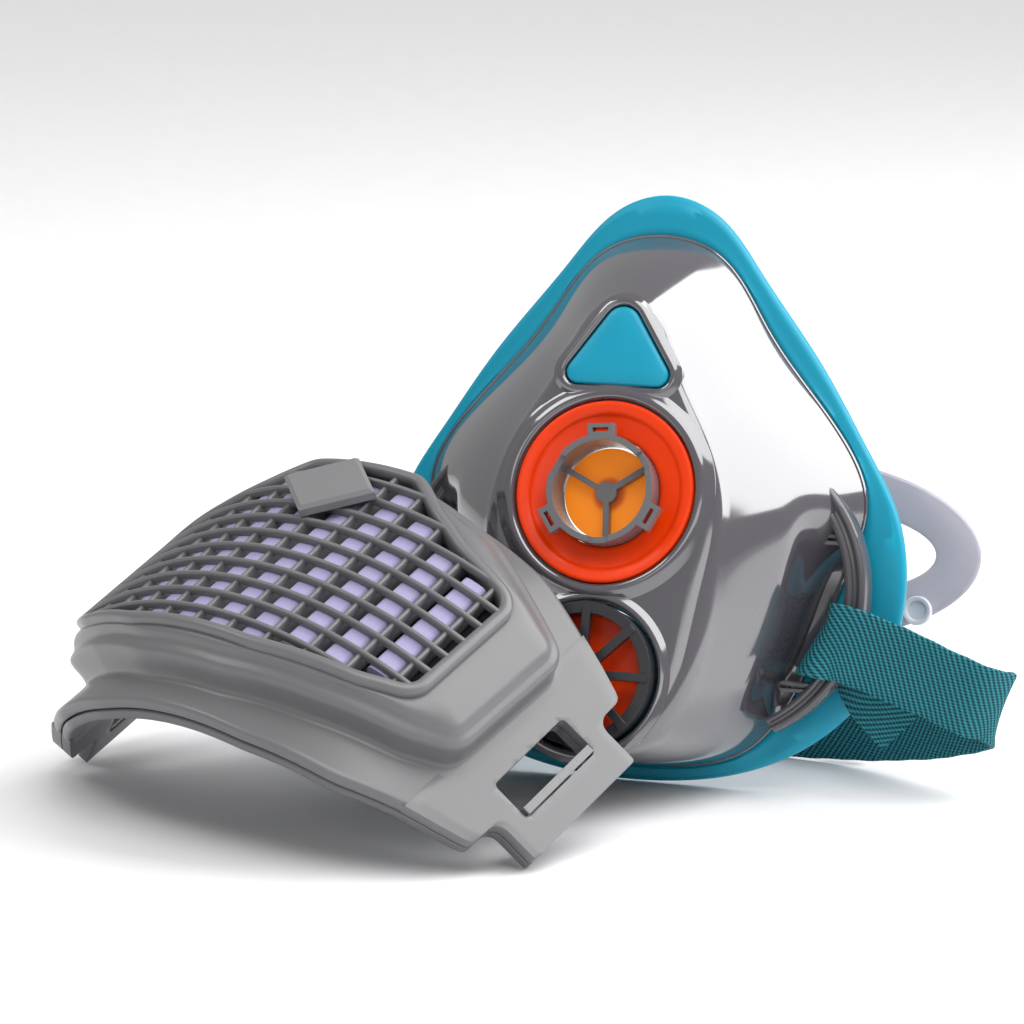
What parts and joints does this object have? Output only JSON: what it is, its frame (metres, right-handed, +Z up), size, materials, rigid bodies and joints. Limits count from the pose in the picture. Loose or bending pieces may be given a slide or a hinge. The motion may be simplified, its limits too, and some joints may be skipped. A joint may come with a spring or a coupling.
{
  "type": "half-mask respirator",
  "caption": "Half-mask respirator with a soft face seal, valved inhalation port and a louvered filter holder off the port beside it.",
  "frame": {"origin": "centre of the whole object's box on the floor it stands on", "axes": "+Z up; the mask faces -Y; +X to the mask's left-hand strap side as seen from the front"},
  "size_m": [0.2034, 0.1359, 0.1233],
  "materials": {
    "teal_silicone": "soft matte silicone",
    "nose_silicone": "smooth satin silicone",
    "shell_grey": "glossy moulded plastic",
    "seat_grey": "glossy moulded plastic",
    "cover_grey": "satin gloss moulded plastic",
    "back_grey": "satin moulded plastic",
    "badge_grey": "glossy moulded plastic",
    "clip_grey": "glossy moulded plastic",
    "cage_dark": "satin moulded plastic",
    "dark_rubber": "matte rubber",
    "red_silicone": "glossy silicone",
    "valve_orange": "soft silicone",
    "filter_white": "fibrous filter felt",
    "band_clear": "translucent soft plastic",
    "strap_teal": "ribbed twill webbing"
  },
  "bodies": {
    "facepiece": {"face_seal": "teal_silicone", "front_shell": "shell_grey", "port_rim": "shell_grey", "nose_panel": "nose_silicone", "port_gasket": "red_silicone", "inhalation_seat": "seat_grey", "inhalation_valve_pin": "seat_grey", "exhalation_seat": "cage_dark", "exhalation_cage": "cage_dark", "strap_rail_left": "shell_grey", "strap_rail_right": "shell_grey", "elastic_strap": "strap_teal", "head_band": "band_clear", "band_button": "cage_dark"},
    "inhalation_valve": {"inhalation_valve": "valve_orange"},
    "exhalation_valve": {"exhalation_valve": "red_silicone"},
    "holder": {"backplate": "back_grey", "back_tab_left": "back_grey", "back_tab_right": "back_grey", "port_collar": "back_grey", "collar_seal": "dark_rubber"},
    "cover": {"cover_frame": "cover_grey", "cover_tab_left": "cover_grey", "cover_tab_right": "cover_grey", "louver_grille": "cover_grey", "badge_plate": "badge_grey"},
    "filter": {"filter_pad": "filter_white", "filter_core": "filter_white"},
    "clip_left": {"cover_clip_left": "clip_grey"},
    "clip_right": {"cover_clip_right": "clip_grey"}
  },
  "joints": [
    {"name": "inhalation_valve_lift", "type": "slide", "parent": "facepiece", "child": "inhalation_valve", "axis": [0, 0.9397, -0.342], "range_m": [0, 0.0015], "stiffness_N_per_m": 20},
    {"name": "exhalation_valve_lift", "type": "slide", "parent": "facepiece", "child": "exhalation_valve", "axis": [0, -0.9397, 0.342], "range_m": [0, 0.0014], "stiffness_N_per_m": 20},
    {"name": "holder_lift", "type": "slide", "parent": "facepiece", "child": "holder", "axis": [0, -0.6, 0.8], "range_m": [0, 0.06]},
    {"name": "cover_lift", "type": "slide", "parent": "holder", "child": "cover", "axis": [-0.1617, -0.3904, 0.9063], "range_m": [0, 0.03]},
    {"name": "filter_lift", "type": "slide", "parent": "holder", "child": "filter", "axis": [-0.1617, -0.3904, 0.9063], "range_m": [0, 0.0135]},
    {"name": "cover_clip_left_swing", "type": "hinge", "parent": "cover", "child": "clip_left", "pos_m": [-0.091, 0.00881, 0.01503], "axis": [-0.3468, -0.8373, -0.4226], "range_deg": [0, 12], "stiffness_Nm_per_rad": 0.02},
    {"name": "cover_clip_right_swing", "type": "hinge", "parent": "cover", "child": "clip_right", "pos_m": [0.02231, -0.03813, 0.01503], "axis": [0.3468, 0.8373, 0.4226], "range_deg": [0, 12], "stiffness_Nm_per_rad": 0.02}
  ],
  "couplings": [
    {"joint": "filter_lift", "follows": "cover_lift", "ratio": 0.45}
  ]
}
